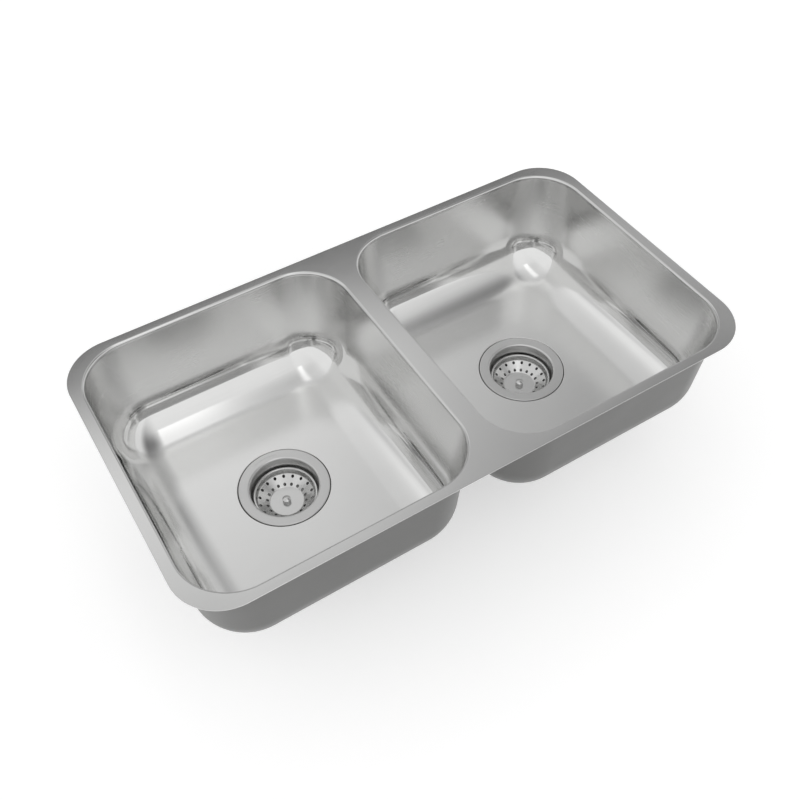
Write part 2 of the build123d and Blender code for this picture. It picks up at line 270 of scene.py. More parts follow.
def height_of(tree, direction):
    """The upward part of a direction."""
    return add_node(tree, "ShaderNodeSeparateXYZ", {0: direction}).outputs["Z"]


def spread(tree, value, low, high):
    """A value from 0 to 1 spread between two others."""
    inputs = {"Value": value, "To Min": low, "To Max": high}
    return add_node(tree, "ShaderNodeMapRange", inputs).outputs["Result"]


def mixed(tree, kind, factor, first, second):
    """A number or colour that changes from the first to the second with a factor."""
    one, other, result = MIX_SOCKETS[kind]
    inputs = {0: factor, one: first, other: second}
    return add_node(tree, "ShaderNodeMix", inputs, data_type=kind).outputs[result]


def place(tree):
    """Position on the piece, which moves with it."""
    return add_node(tree, "ShaderNodeTexCoord").outputs["Object"]


def noise(tree, where, scale, detail=3.0, rough=0.5):
    """Noise from 0 to 1, its scale one number or one for each direction."""
    if not isinstance(scale, (int, float)):
        where = add_node(tree, "ShaderNodeMapping", {"Vector": where, "Scale": scale}).outputs[0]
        scale = 1.0
    inputs = {"Vector": where, "Scale": scale, "Detail": detail, "Roughness": rough}
    return add_node(tree, "ShaderNodeTexNoise", inputs).outputs["Fac"]


def bump(tree, shader, height, strength, distance):
    """Raise the surface by a height pattern."""
    inputs = {"Height": height, "Strength": strength, "Distance": distance}
    raised = add_node(tree, "ShaderNodeBump", inputs)
    tree.links.new(raised.outputs[0], shader.inputs["Normal"])


def tint(tree, shader, base, factor, low, high):
    """Make the base colour darker and lighter by a pattern."""
    dark = (*(channel * low for channel in base), 1.0)
    pale = (*(min(1.0, channel * high) for channel in base), 1.0)
    tree.links.new(mixed(tree, "RGBA", factor, dark, pale), shader.inputs["Base Color"])


def steel(name, base, steps, grain, worn=0.25, scratch=0.05):
    """Satin steel with fine grain and cloudy polishing marks.

    grain makes the pattern of the brushing, from 0 to 1. steps are of how level the face is
    and its roughness there. worn is how far the marks change the roughness, and scratch is
    how far the grain shows as relief.
    """
    tree, shader = start_material(name, base, steps[0][1], metallic=1.0)
    where = place(tree)
    lines = grain(tree, where)
    clouds = noise(tree, where, 14.0, detail=4.0, rough=0.6)
    marks = maths(tree, "MULTIPLY", lines, clouds)
    gloss = ramp(tree, facing_up(tree), steps) if len(steps) > 1 else steps[0][1]
    uneven = spread(tree, marks, 1.0 - worn, 1.0 + 2.0 * worn)
    tree.links.new(maths(tree, "MULTIPLY", gloss, uneven), shader.inputs["Roughness"])
    tint(tree, shader, base, marks, low=0.95, high=1.1)
    bump(tree, shader, lines, scratch, distance=0.00002)


def facing_up(tree):
    """1 on level faces and 0 on upright ones."""
    normal = add_node(tree, "ShaderNodeNewGeometry").outputs["Normal"]
    return maths(tree, "ABSOLUTE", height_of(tree, normal))


def level(tree):
    """1 on level faces, and soon 0 on those that slope."""
    return maths(tree, "POWER", facing_up(tree), 6.0)


def ramp(tree, value, steps):
    """A value from 0 to 1 turned into another by steps of both."""
    node = add_node(tree, "ShaderNodeValToRGB", {0: value})
    elements = node.color_ramp.elements
    while len(elements) < len(steps):
        elements.new(0.5)
    for element, (position, grey) in zip(elements, steps):
        element.position = position
        element.color = (grey, grey, grey, 1.0)
    return node.outputs[0]


def lengthwise(tree, where):
    """Brushing along X."""
    return noise(tree, where, (14.0, 1500.0, 400.0), detail=4.0, rough=0.7)


def round_walls(tree, where):
    """Brushing along X on level faces, and level round the walls."""
    floor = noise(tree, where, (10.0, 1100.0, 20.0), detail=4.0, rough=0.7)
    wall = noise(tree, where, (16.0, 16.0, 1100.0), detail=4.0, rough=0.7)
    return mixed(tree, "FLOAT", level(tree), wall, floor)


def turned(tree, where):
    """Rings left by the lathe."""
    return noise(tree, where, (60.0, 60.0, 3000.0), detail=3.0, rough=0.6)


def make_steels(finish):
    """All steel finishes by the name of their slot, and the bowls' backs."""
    wall, foot, floor = finish.wall_gloss, finish.foot_gloss, finish.floor_gloss
    bowl = ((0.0, wall), (0.1, wall), (0.3, foot), (0.7, foot), (0.95, floor))
    steel("rim_steel", finish.rim_colour, ((0.0, finish.rim_gloss),), lengthwise)
    steel("bowl_steel", finish.bowl_colour, bowl, round_walls, worn=0.12, scratch=0.008)
    # the bowls' backs get a dark base colour as painted shade for the dark surroundings they
    # reflect
    steel("shaded_back_steel", finish.shaded_back_colour, ((0.0, 0.38),), round_walls, worn=0.3, scratch=0.1)
    steel("strainer_steel", finish.strainer_colour, ((0.0, 0.32),), turned)
    steel("basket_steel", finish.basket_colour, ((0.0, 0.24),), turned)
    steel("fitting_steel", finish.strainer_colour, ((0.0, 0.28),), turned)


def brass(finish):
    """Machined brass with dull patches."""
    tree, shader = start_material("insert_brass", finish.brass_colour, 0.3, metallic=1.0)
    patches = noise(tree, place(tree), 220.0)
    tint(tree, shader, finish.brass_colour, patches, low=0.8, high=1.1)
    tree.links.new(spread(tree, patches, 0.24, 0.42), shader.inputs["Roughness"])
    bump(tree, shader, turned(tree, place(tree)), 0.1, distance=0.00003)


def rubber(name, base, grain_size, strength):
    """Matt rubber with a fine grain and paler dusty patches."""
    tree, shader = start_material(name, base, 0.6)
    where = place(tree)
    dust = noise(tree, where, 60.0, detail=5.0, rough=0.65)
    grain = noise(tree, where, grain_size, detail=2.0)
    tint(tree, shader, base, dust, low=0.75, high=1.5)
    tree.links.new(spread(tree, dust, 0.5, 0.75), shader.inputs["Roughness"])
    bump(tree, shader, grain, strength, distance=0.0001)


def plastic(finish):
    """Moulded plastic with a fine spark grain and faint flow marks."""
    tree, shader = start_material("waste_plastic", finish.plastic_colour, 0.45)
    where = place(tree)
    flow = noise(tree, where, (25.0, 25.0, 90.0), detail=4.0)
    grain = noise(tree, where, 1800.0, detail=2.0)
    tint(tree, shader, finish.plastic_colour, flow, low=0.92, high=1.04)
    tree.links.new(spread(tree, grain, 0.38, 0.55), shader.inputs["Roughness"])
    bump(tree, shader, grain, 0.15, distance=0.00005)


def finish_of(name):
    """A material made here, by its short name."""
    return bpy.data.materials[FINISH + name]


# Outlines and meshes


def polar(radius, angle):
    """A point round the middle."""
    return radius * Vector((math.cos(angle), math.sin(angle)))


def rounded_path(points, radii, steps=8):
    """Points of a run of straight lines whose inner corners have the given radii."""
    path = [Vector(points[0])]
    for before, corner, after, radius in zip(points, points[1:], points[2:], radii):
        corner = Vector(corner)
        if radius == 0:
            path.append(corner)
            continue
        back = (Vector(before) - corner).normalized()
        onward = (Vector(after) - corner).normalized()
        half = back.angle(onward) / 2
        centre = corner + (back + onward).normalized() * radius / math.sin(half)
        start = corner + back * radius / math.tan(half) - centre
        end = corner + onward * radius / math.tan(half) - centre
        for step in range(steps + 1):
            path.append(centre + radius * start.slerp(end, step / steps))
    path.append(Vector(points[-1]))
    return path


def rounded_loop(points, radii, steps=6):
    """A closed outline whose corners have the given radii."""
    around = [points[-1], *points, points[0]]
    return rounded_path(around, radii, steps)[1:-1]


def rounded_rectangle(shape, low, high, radii, reach=0.0):
    """Outline from the lower right corner, anticlockwise, with as many points for any size.

    radii are for the upper right, upper left, lower left and lower right corners. A square
    corner takes its points from both sides, over the reach.
    """
    signs = ((1, 1), (-1, 1), (-1, -1), (1, -1))
    corners = []
    for quarter, ((sign_x, sign_y), radius) in enumerate(zip(signs, radii)):
        corner = Vector((high[0] if sign_x > 0 else low[0], high[1] if sign_y > 0 else low[1]))
        take = radius or reach
        turn = math.pi / 2 * quarter
        centre = corner - take * Vector((sign_x, sign_y))
        arc = []
        for step in range(shape.corner_steps + 1):
            angle = turn + math.pi / 2 * step / shape.corner_steps
            way = polar(1.0, angle)
            if not radius:
                way = way / max(abs(way.x), abs(way.y))
            arc.append(centre + take * way)
        corners.append(arc)
    outline = []
    for before, arc in zip(corners[-1:] + corners[:-1], corners):
        for step in range(shape.side_steps):
            outline.append(before[-1].lerp(arc[0], step / shape.side_steps))
        outline += arc[:-1]
    return outline


def between(one, other, factor):
    """Outline part of the way from one to another."""
    return [start.lerp(end, factor) for start, end in zip(one, other)]


def circle_outline(shape, centre, radius):
    """Circle with the points of a rounded rectangle, the middle of the right side at angle 0."""
    count = 4 * (shape.side_steps + shape.corner_steps)
    turn = 2 * math.pi / count
    return [centre + polar(radius, turn * (step - shape.side_steps / 2)) for step in range(count)]


def add_ring(bm, outline, height):
    """Points of one outline at a height."""
    return [bm.verts.new((point.x, point.y, height)) for point in outline]


def bridge(bm, outer, inner):
    """Faces between two rings, which face up or towards the middle where the first is outside."""
    count = max(len(outer), len(inner))
    for step in range(count):
        following = (step + 1) % count
        if len(outer) == 1:
            corners = (outer[0], inner[following], inner[step])
        elif len(inner) == 1:
            corners = (outer[step], outer[following], inner[0])
        else:
            corners = (outer[step], outer[following], inner[following], inner[step])
        bm.faces.new(corners)


def bridge_rings(bm, rings):
    """Faces between every two rings in a row."""
    for outer, inner in zip(rings, rings[1:]):
        bridge(bm, outer, inner)


def add_lathe(bm, path, centre, steps, start=0.0, closed=False):
    """Revolve a path of radius and height round an upright line."""
    angles = [start + 2 * math.pi * step / steps for step in range(steps)]
    rings = []
    for radius, height in path:
        outline = [centre]
        if radius > WELD:
            outline = [centre + polar(radius, angle) for angle in angles]
        rings.append(add_ring(bm, outline, height))
    bridge_rings(bm, rings + rings[:1] if closed else rings)
    return rings


def add_slab(bm, centre, turn, low, high, narrow=0.0):
    """A rib: a block from low to high in its own turned axes, drawn in at its top."""
    base = Matrix.Translation((centre.x, centre.y, 0)) @ Matrix.Rotation(turn, 4, "Z")
    corners = []
    for height, drawn in ((low[2], 0.0), (high[2], narrow)):
        for x, y in ((low[0], low[1]), (high[0], low[1]), (high[0], high[1]), (low[0], high[1])):
            y = y - math.copysign(drawn, y)
            corners.append(bm.verts.new(base @ Vector((x, y, height))))
    sides = ((0, 1, 5, 4), (1, 2, 6, 5), (2, 3, 7, 6), (3, 0, 4, 7), (3, 2, 1, 0), (4, 5, 6, 7))
    for side in sides:
        bm.faces.new([corners[index] for index in side])


def make_piece(name, bm, slot, body, nodes=(), sheet=0.0, back=None, edge=0.0001, angle=50.0):
    """Turn a mesh into a piece that rides on its body and stands for its CAD nodes.

    sheet is the thickness given to a surface, away from its shown face, and back the finish
    it gets there. A mesh without it is closed. edge is the width taken off its cut edges.
    """
    bmesh.ops.remove_doubles(bm, verts=bm.verts, dist=WELD)
    if not sheet:
        bmesh.ops.recalc_face_normals(bm, faces=bm.faces)
    mesh = bpy.data.meshes.new(name)
    bm.to_mesh(mesh)
    bm.free()
    mesh.shade_smooth()
    for finish in filter(None, (slot, back)):
        mesh.materials.append(finish_of(finish))
    piece = bpy.data.objects.new(name, mesh)
    bpy.context.scene.collection.objects.link(piece)
    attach(piece, body)
    if nodes:
        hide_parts(*nodes)
    if sheet:
        solid = piece.modifiers.new("Sheet", "SOLIDIFY")
        solid.thickness = sheet
        solid.offset = -1.0
        solid.use_even_offset = True
        solid.use_quality_normals = True
        solid.material_offset = 1 if back else 0
    break_edges(piece, edge, angle)


def break_edges(piece, width, angle):
    """Take the sharpness off edges over an angle, and keep the mesh as it is then shown."""
    bevel = piece.modifiers.new("Broken edges", "BEVEL")
    bevel.width = width
    bevel.segments = 2
    bevel.limit_method = "ANGLE"
    bevel.angle_limit = math.radians(angle)
    bevel.use_clamp_overlap = True
    bpy.context.view_layer.update()
    shown = piece.evaluated_get(bpy.context.evaluated_depsgraph_get())
    mesh = bpy.data.meshes.new_from_object(shown)
    piece.modifiers.clear()
    piece.data = mesh
    mesh.set_sharp_from_angle(angle=SHARP)
    weighted = piece.modifiers.new("Weighted normals", "WEIGHTED_NORMAL")
    weighted.keep_sharp = True


def space(node):
    """Lowest and highest corner of a node, and its upright middle line as a point."""
    low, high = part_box(node)
    return low, high, Vector(((low.x + high.x) / 2, (low.y + high.y) / 2))


def opening_outline(side, shape, grow, lean=0.0):
    """Outline of a bowl's opening, grown outwards, where the walls have leant in so far."""
    low, high, centre = space(f"{side}_bowl")
    half = Vector(((high.x - low.x) / 2, (high.y - low.y) / 2))
    half = half - Vector((1, 1)) * shape.bowl_sheet + Vector((grow, grow))
    radius = shape.bowl_corner + grow + lean
    return rounded_rectangle(shape, centre - half, centre + half, (radius,) * 4)


# Operators


class SINK_OT_mix_finishes(bpy.types.Operator):
    """Make the steel, brass, rubber and plastic materials"""

    bl_idname = "sink.mix_finishes"
    bl_label = "Finishes"

    def execute(self, context):
        finish = context.scene.sink_finish
        make_steels(finish)
        brass(finish)
        rubber("seal_rubber", finish.rubber_colour, 900.0, 0.2)
        rubber("stopper_rubber", finish.rubber_colour, 1400.0, 0.12)
        rubber("pad_rubber", finish.pad_colour, 350.0, 0.6)
        plastic(finish)
        return {"FINISHED"}


class SINK_OT_press_rim(bpy.types.Operator):
    """Build the rim plate with both openings turned down to the bowls"""

    bl_idname = "sink.press_rim"
    bl_label = "Rim plate"

    def execute(self, context):
        shape = context.scene.sink_shape
        roll_steps = 8
        low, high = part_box("rim")
        out = shape.rim_corner
        halves = {
            "left": (low, Vector((0, high.y)), (0, out, out, 0)),
            "right": (Vector((0, low.y)), high, (out, 0, 0, out)),
        }
        bm = bmesh.new()
        for side, half in halves.items():
            rings = [add_ring(bm, rounded_rectangle(shape, *half, shape.bowl_corner), high.z)]
            for step in range(roll_steps + 1):
                angle = math.pi / 2 * step / roll_steps
                grow = shape.roll * (1 - math.sin(angle))
                height = high.z - shape.roll * (1 - math.cos(angle))
                rings.append(add_ring(bm, opening_outline(side, shape, grow), height))
            foot = high.z - shape.roll - shape.collar
            rings.append(add_ring(bm, opening_outline(side, shape, 0.0), foot))
            bridge_rings(bm, rings)
        sheet = shape.rim_sheet
        make_piece("rim_plate", bm, "rim_steel", "root", ["rim"], sheet, edge=0.00025)
        return {"FINISHED"}


class SINK_OT_draw_bowls(bpy.types.Operator):
    """Build the two drawn bowls, each with its recess and hole for the waste"""

    bl_idname = "sink.draw_bowls"
    bl_label = "Bowls"

    def execute(self, context):
        shape = context.scene.sink_shape
        wall_steps, foot_steps, floor_steps = 8, 28, 6
        for side in SIDES:
            _, high, centre = space(f"{side}_bowl")
            flange_low, flange_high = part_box(f"{side}_strainer_cup")
            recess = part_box(f"{side}_flange_seal")[0].z
            floor = flange_high.z - shape.flange_proud
            depth = high.z - floor
            lean = math.tan(shape.bowl_draft) * depth
            corners = [(0.0, high.z), (lean, floor), (lean + shape.bowl_foot, floor)]
            top, *foot_path, _ = rounded_path(corners, [shape.bowl_foot], foot_steps)
            wall = [top.lerp(foot_path[0], step / wall_steps) for step in range(wall_steps)]
            bm = bmesh.new()
            rings = []
            for inset, height in wall + foot_path:
                wall_inset = math.tan(shape.bowl_draft) * (high.z - height)
                outline = opening_outline(side, shape, -inset, wall_inset)
                rings.append(add_ring(bm, outline, height))
            flange = (flange_high.x - flange_low.x) / 2
            foot = flange + shape.recess_gap
            shoulder = foot + shape.recess_run
            edge = shoulder + shape.recess_margin
            floor_outline = opening_outline(side, shape, -foot_path[-1].x, lean)
            edge_outline = circle_outline(shape, centre, edge)
            for step in range(1, floor_steps):
                ring = between(floor_outline, edge_outline, step / floor_steps)
                rings.append(add_ring(bm, ring, floor))
            recess_path = rounded_path(
                [(edge, floor), (shoulder, floor), (foot, recess), (shape.waste_hole, recess)],
                [shape.recess_blend] * 2,
            )
            for radius, height in recess_path:
                rings.append(add_ring(bm, circle_outline(shape, centre, radius), height))
            bridge_rings(bm, rings)
            name, nodes, sheet = f"{side}_bowl_shell", [f"{side}_bowl"], shape.bowl_sheet
            make_piece(name, bm, "bowl_steel", "root", nodes, sheet, "shaded_back_steel", edge=0.0002)
        return {"FINISHED"}


def spider_outline(centre, radius, spoke, steps):
    """Circle whose points crowd so that every spoke has straight sides at any radius."""
    quarter = steps // 4
    spoke_steps = quarter // 4
    spread_angle = math.asin(min(1.0, spoke / 2 / radius))
    outline = []
    for step in range(steps):
        turn, along = divmod(step, quarter)
        if along <= spoke_steps:
            angle = spread_angle * along / spoke_steps
        elif along >= quarter - spoke_steps:
            angle = math.pi / 2 - spread_angle * (quarter - along) / spoke_steps
        else:
            factor = (along - spoke_steps) / (quarter - 2 * spoke_steps)
            angle = spread_angle + factor * (math.pi / 2 - 2 * spread_angle)
        outline.append(centre + polar(radius, angle + turn * math.pi / 2))
    return outline


class SINK_OT_press_cups(bpy.types.Operator):
    """Build the strainer cups: flange, rolled mouth, seat and the spider under it"""

    bl_idname = "sink.press_cups"
    bl_label = "Strainer cups"

    def execute(self, context):
        shape = context.scene.strainer_shape
        outlet_lean = 0.0005
        # the spider: width of its spokes, and radii of its edge, windows, hub and screw hole
        spoke = 0.004
        spider_edge, window_edge, hub, screw_hole = 0.0170, 0.0164, 0.0096, 0.0053
        # the curved mark pressed in the flange: its middle, half its length, depth and edges
        mark_middle, mark_half = math.radians(90), math.radians(19)
        mark_depth = 0.00035
        mark_radii = (0.0493, 0.0496, 0.0508, 0.0511)
        for side in SIDES:
            low, high, centre = space(f"{side}_strainer_cup")
            flange = (high.x - low.x) / 2
            top = high.z
            spider = low.z + shape.cup_sheet
            seat = spider + shape.outlet_depth
            path = rounded_path(
                [
                    (flange, top - shape.curl),
                    (flange, top),
                    (shape.mouth, top),
                    (shape.mouth - shape.cup_lean, seat),
                    (shape.outlet, seat),
                    (shape.outlet - outlet_lean, spider),
                    (spider_edge, spider),
                ],
                [0.0012, shape.mouth_lip, shape.cup_foot, 0.0015, 0.0009],
            )
            mark = [Vector((radius, top)) for radius in reversed(mark_radii)]
            flat_end = next(i for i, point in enumerate(path) if point.x < mark_radii[0])
            path = path[:flat_end] + mark + path[flat_end:]
            bm = bmesh.new()
            rings = add_lathe(bm, path, centre, shape.round_steps)
            for ring in rings[flat_end + 1 : flat_end + 3]:
                for vert in ring:
                    angle = math.atan2(vert.co.y - centre.y, vert.co.x - centre.x)
                    if abs(angle - mark_middle) < mark_half:
                        vert.co.z -= mark_depth
            spider_rings = [rings[-1]]
            for radius in (window_edge, hub, screw_hole):
                outline = spider_outline(centre, radius, spoke, shape.round_steps)
                spider_rings.append(add_ring(bm, outline, spider))
            bridge(bm, *spider_rings[:2])
            bridge(bm, *spider_rings[2:])
            quarter = shape.round_steps // 4
            spoke_steps = quarter // 4
            outer, inner = spider_rings[1:3]
            for step in range(shape.round_steps):
                if spoke_steps <= step % quarter < quarter - spoke_steps:
                    continue  # a window
                following = (step + 1) % shape.round_steps
                bm.faces.new((outer[step], outer[following], inner[following], inner[step]))
            name, nodes = f"{side}_cup_pressing", [f"{side}_strainer_cup"]
            make_piece(name, bm, "strainer_steel", "root", nodes, shape.cup_sheet, edge=0.00015)
        return {"FINISHED"}


def add_hole_cell(bm, centre, shape, turn, row, inner_edge, outer_edge, height_at):
    """One sector of the basket's cone with a round hole in it."""
    half_turn = math.pi / shape.holes_in_row
    across = shape.round_steps // shape.holes_in_row
    along = across // 2
    edge = []
    for near, far, swing in ((outer_edge, inner_edge, 1), (inner_edge, outer_edge, -1)):
        for step in range(across):
            edge.append(polar(near, turn + swing * half_turn * (2 * step / across - 1)))
        for step in range(along):
            edge.append(polar(near + (far - near) * step / along, turn + swing * half_turn))
    hole_centre = polar(row, turn)
    hole = []
    for point in edge:
        hole.append(hole_centre + (point - hole_centre).normalized() * shape.drain_hole)
    rings = []
    for factor in (0.0, 0.6, 1.0):
        ring = []
        for point in between(edge, hole, factor):
            x, y = centre + point
            ring.append(bm.verts.new((x, y, height_at(point.length))))
        rings.append(ring)
    bridge_rings(bm, rings)


class SINK_OT_press_baskets(bpy.types.Operator):
    """Build the perforated baskets and the knobs riveted to them"""

    bl_idname = "sink.press_baskets"
    bl_label = "Baskets"

    def execute(self, context):
        shape = context.scene.strainer_shape
        for side in SIDES:
            self.press_basket(side, shape)
            self.turn_knob(side, shape)
        return {"FINISHED"}

    def press_basket(self, side, shape):
        rivet_hole = 0.0019
        low, high, centre = space(f"{side}_basket")
        rim = (high.x - low.x) / 2
        top = high.z
        ledge = rim - shape.basket_ledge
        cone_top = Vector((ledge - shape.basket_lean, top - shape.cone_top_drop))
        cone_foot = Vector((shape.disc_radius, top - shape.disc_drop))
        slope = (cone_top.y - cone_foot.y) / (cone_top.x - cone_foot.x)

        def height_at(radius):
            return cone_foot.y + (radius - cone_foot.x) * slope

        path = rounded_path(
            [
                (rim, top - shape.basket_curl),
                (rim, top),
                (ledge, top),
                cone_top,
                cone_foot,
                (rivet_hole, cone_foot.y),
            ],
            [0.0008, 0.0014, 0.002, 0.002],
        )
        near_foot = 0.0008  # the path's rounding starts so near the cone's foot
        split = next(i for i, point in enumerate(path) if (point - cone_foot).length < near_foot)
        upper, lower = path[:split], path[split:]
        midway = (shape.inner_row + shape.outer_row) / 2
        rows = (
            (shape.outer_row, (midway, upper[-1].x)),
            (shape.inner_row, (lower[0].x, midway)),
        )
        bm = bmesh.new()
        for part in (upper, lower):
            add_lathe(bm, part, centre, shape.round_steps, start=shape.first_hole)
        for index in range(shape.holes_in_row):
            turn = shape.first_hole + 2 * math.pi * index / shape.holes_in_row
            for row, edges in rows:
                add_hole_cell(bm, centre, shape, turn, row, *edges, height_at)
        name, body, sheet = f"{side}_basket_pressing", f"{side}_strainer", shape.basket_sheet
        make_piece(name, bm, "basket_steel", body, [f"{side}_basket"], sheet)

    def turn_knob(self, side, shape):
        waist_steps, dome_steps = 16, 14
        dome_height, foot_edge = 0.0014, 0.0003
        low, high, centre = space(f"{side}_knob")
        radius = (high.x - low.x) / 2
        foot, top = low.z, high.z
        # the post's head has its room in the knob's foot
        room_radius, room_top = 0.0028, foot + 0.0019
        foot_top = foot + 0.0009
        shoulder = top - dome_height
        waist = []
        for step in range(waist_steps + 1):
            along = step / waist_steps
            inward = (radius - shape.knob_waist) * math.sin(math.pi * along)
            waist.append((radius - inward, foot_top + (shoulder - foot_top) * along))
        dome = []
        dome_radius = (radius**2 + dome_height**2) / (2 * dome_height)
        dome_half = math.asin(radius / dome_radius)
        for step in range(1, dome_steps + 1):
            angle = dome_half * (1 - step / dome_steps)
            dome.append((dome_radius * math.sin(angle), top - dome_radius * (1 - math.cos(angle))))
        path = [
            (0.0, room_top),
            (room_radius, room_top),
            (room_radius, foot),
            (radius - foot_edge, foot),
            (radius, foot + foot_edge),
            *waist,
            *dome,
        ]
        bm = bmesh.new()
        add_lathe(bm, path, centre, shape.round_steps // 2)
        name, body = f"{side}_knob_turned", f"{side}_strainer"
        make_piece(name, bm, "basket_steel", body, [f"{side}_knob"], angle=60.0)


class SINK_OT_turn_plugs(bpy.types.Operator):
    """Build the posts and the rubber stoppers that slide with the baskets"""

    bl_idname = "sink.turn_plugs"
    bl_label = "Posts and stoppers"

    def execute(self, context):
        shape = context.scene.strainer_shape
        for side in SIDES:
            self.turn_post(side, shape)
            self.mould_stopper(side, shape)
        return {"FINISHED"}

    def turn_post(self, side, shape):
        chamfer, keeper_radius, keeper_height = 0.0008, 0.005, 0.0012
        collar_height, head_radius, head_height = 0.0015, 0.0026, 0.0015
        low, high, centre = space(f"{side}_post")
        stopper_low, stopper_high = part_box(f"{side}_stopper")
        collar = (high.x - low.x) / 2
        seat = stopper_high.z
        keeper = stopper_low.z + shape.lip_height
        outline = [
            (0.0, low.z),
            (shape.post - chamfer, low.z),
            (shape.post, low.z + chamfer),
            (shape.post, keeper - keeper_height),
            (keeper_radius, keeper - keeper_height),
            (keeper_radius, keeper),
            (shape.post, keeper),
            (shape.post, seat),
            (collar, seat),
            (collar, seat + collar_height),
            (shape.neck, seat + collar_height),
            (shape.neck, high.z - head_height),
            (head_radius, high.z - head_height),
            (head_radius, high.z),
            (0.0, high.z),
        ]
        radii = [0.0, 0.0, 0.0, 0.0003, 0.0003, 0.0, 0.0, 0.0003, 0.0004, 0.0, 0.0, 0.0003, 0.0006]
        bm = bmesh.new()
        add_lathe(bm, rounded_path(outline, radii, 4), centre, shape.round_steps // 2)
        name, body = f"{side}_post_turned", f"{side}_plug"
        make_piece(name, bm, "fitting_steel", body, [f"{side}_post"], angle=60.0)

    def mould_stopper(self, side, shape):
        low, high, centre = space(f"{side}_stopper")
        edge = (high.x - low.x) / 2
        web = low.z + shape.lip_height
        outline = [
            (shape.post, high.z),
            (edge, high.z),
            (edge, low.z),
            (edge - shape.stopper_lip, low.z),
            (edge - shape.stopper_lip, web),
            (shape.post, web),
        ]
        path = rounded_loop(outline, [0.0, 0.001, 0.0004, 0.0004, 0.0003, 0.0])
        bm = bmesh.new()
        add_lathe(bm, path, centre, shape.round_steps // 2, closed=True)
        name, body = f"{side}_stopper_disc", f"{side}_plug"
        make_piece(name, bm, "stopper_rubber", body, [f"{side}_stopper"], angle=60.0)


class SINK_OT_mould_wastes(bpy.types.Operator):
    """Build the moulded waste bodies with their ribs, hubs and threaded outlets"""

    bl_idname = "sink.mould_wastes"
    bl_label = "Waste bodies"

    def execute(self, context):
        shape = context.scene.waste_shape
        steps = context.scene.strainer_shape.round_steps
        for side in SIDES:
            low, high, centre = space(f"{side}_waste_body")
            ring_radius = (high.x - low.x) / 2
            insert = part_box(f"{side}_brass_insert")
            bm = bmesh.new()
            self.add_shell(bm, shape, centre, ring_radius, low.z, high.z, steps)
            self.add_hub(bm, shape, centre, insert, steps // 2)
            self.add_grips(bm, shape, centre, ring_radius, high.z)
            name, nodes = f"{side}_waste_moulding", [f"{side}_waste_body"]
            make_piece(name, bm, "waste_plastic", "root", nodes, edge=0.0003, angle=60.0)
            self.add_thread(side, shape, centre, low.z)
        return {"FINISHED"}

    def add_shell(self, bm, shape, centre, ring_radius, foot, top, steps):
        barrel = shape.bore + shape.wall
        funnel_top = top - shape.barrel
        funnel_foot = funnel_top - shape.funnel
        outline = [
            (shape.bore, top),
            (ring_radius, top),
            (ring_radius, top - shape.ring),
            (barrel, top - shape.ring),
            (barrel, funnel_top),
            (shape.tail_root, funnel_foot),
            (shape.tail_root, foot),
            (shape.tail_bore, foot),
            (shape.tail_bore, funnel_foot),
            (shape.bore, funnel_top),
        ]
        radii = [0.0005, 0.0008, 0.0008, 0.0012, 0.006, 0.003, 0.0006, 0.0004, 0.003, 0.004]
        add_lathe(bm, rounded_loop(outline, radii), centre, steps, closed=True)

    def add_hub(self, bm, shape, centre, insert, steps):
        bore, play, over_insert = 0.0053, 0.0001, 0.006
        sunk, rib_height = 0.0004, 0.014  # the ribs are sunk in the hub and the outlet
        insert_low, insert_high = insert
        pocket = (insert_high.x - insert_low.x) / 2 + play
        hub_top = insert_high.z + over_insert
        hub_foot = hub_top - shape.hub_height
        outline = [
            (bore, hub_top),
            (shape.hub, hub_top),
            (shape.hub, hub_foot),
            (bore, hub_foot),
            (bore, insert_low.z),
            (pocket, insert_low.z),
            (pocket, insert_high.z),
            (bore, insert_high.z),
        ]
        radii = [0.0005, 0.0008, 0.0008, 0.0005, 0.0, 0.0, 0.0, 0.0]
        add_lathe(bm, rounded_loop(outline, radii), centre, steps, closed=True)
        half = shape.hub_rib / 2
        low = (shape.hub - sunk, -half, hub_foot)
        high = (shape.tail_bore + sunk, half, hub_foot + rib_height)
        for turn in range(4):
            add_slab(bm, centre, turn * math.pi / 2, low, high, narrow=0.0004)

    def add_grips(self, bm, shape, centre, ring_radius, top):
        # the ribs are sunk in the barrel and the ring, and end short of the foot and the edge
        sunk, foot_gap, edge_gap, top_sunk = 0.0005, 0.0005, 0.0004, 0.0002
        half = shape.grip_rib / 2
        barrel = shape.bore + shape.wall
        low = (barrel - sunk, -half, top - shape.barrel + foot_gap)
        high = (ring_radius - edge_gap, half, top - shape.ring + top_sunk)
        for turn in range(shape.grip_ribs):
            add_slab(bm, centre, 2 * math.pi * turn / shape.grip_ribs, low, high)

    def add_thread(self, side, shape, centre, foot):
        tail_length, start_gap, end_gap = 0.03, 0.0018, 0.0008
        steps = 48  # round one turn
        # the thread rises over a third of a turn at each end, and is sunk in the outlet
        fade_steps, least_peak, sunk = steps / 3, 0.02, 0.0003
        low = foot + start_gap
        high = foot + tail_length - shape.tail_neck - end_gap
        count = int((high - low) / shape.pitch * steps)
        flank, crest = shape.pitch * 0.42, shape.pitch * 0.08
        bm = bmesh.new()
        rings = []
        for step in range(count + 1):
            angle = 2 * math.pi * step / steps
            height = low + shape.pitch * step / steps
            fade = min(1.0, step / fade_steps, (count - step) / fade_steps)
            peak = shape.tail_root + (shape.tail - shape.tail_root) * max(fade, least_peak)
            section = (
                (shape.tail_root - sunk, height - flank),
                (peak, height - crest),
                (peak, height + crest),
                (shape.tail_root - sunk, height + flank),
            )
            ring = []
            for radius, z in section:
                x, y = centre + polar(radius, angle)
                ring.append(bm.verts.new((x, y, z)))
            rings.append(ring)
        bridge_rings(bm, rings)
        bm.faces.new(rings[0])
        bm.faces.new(reversed(rings[-1]))
        make_piece(f"{side}_outlet_thread", bm, "waste_plastic", "root", angle=30.0)


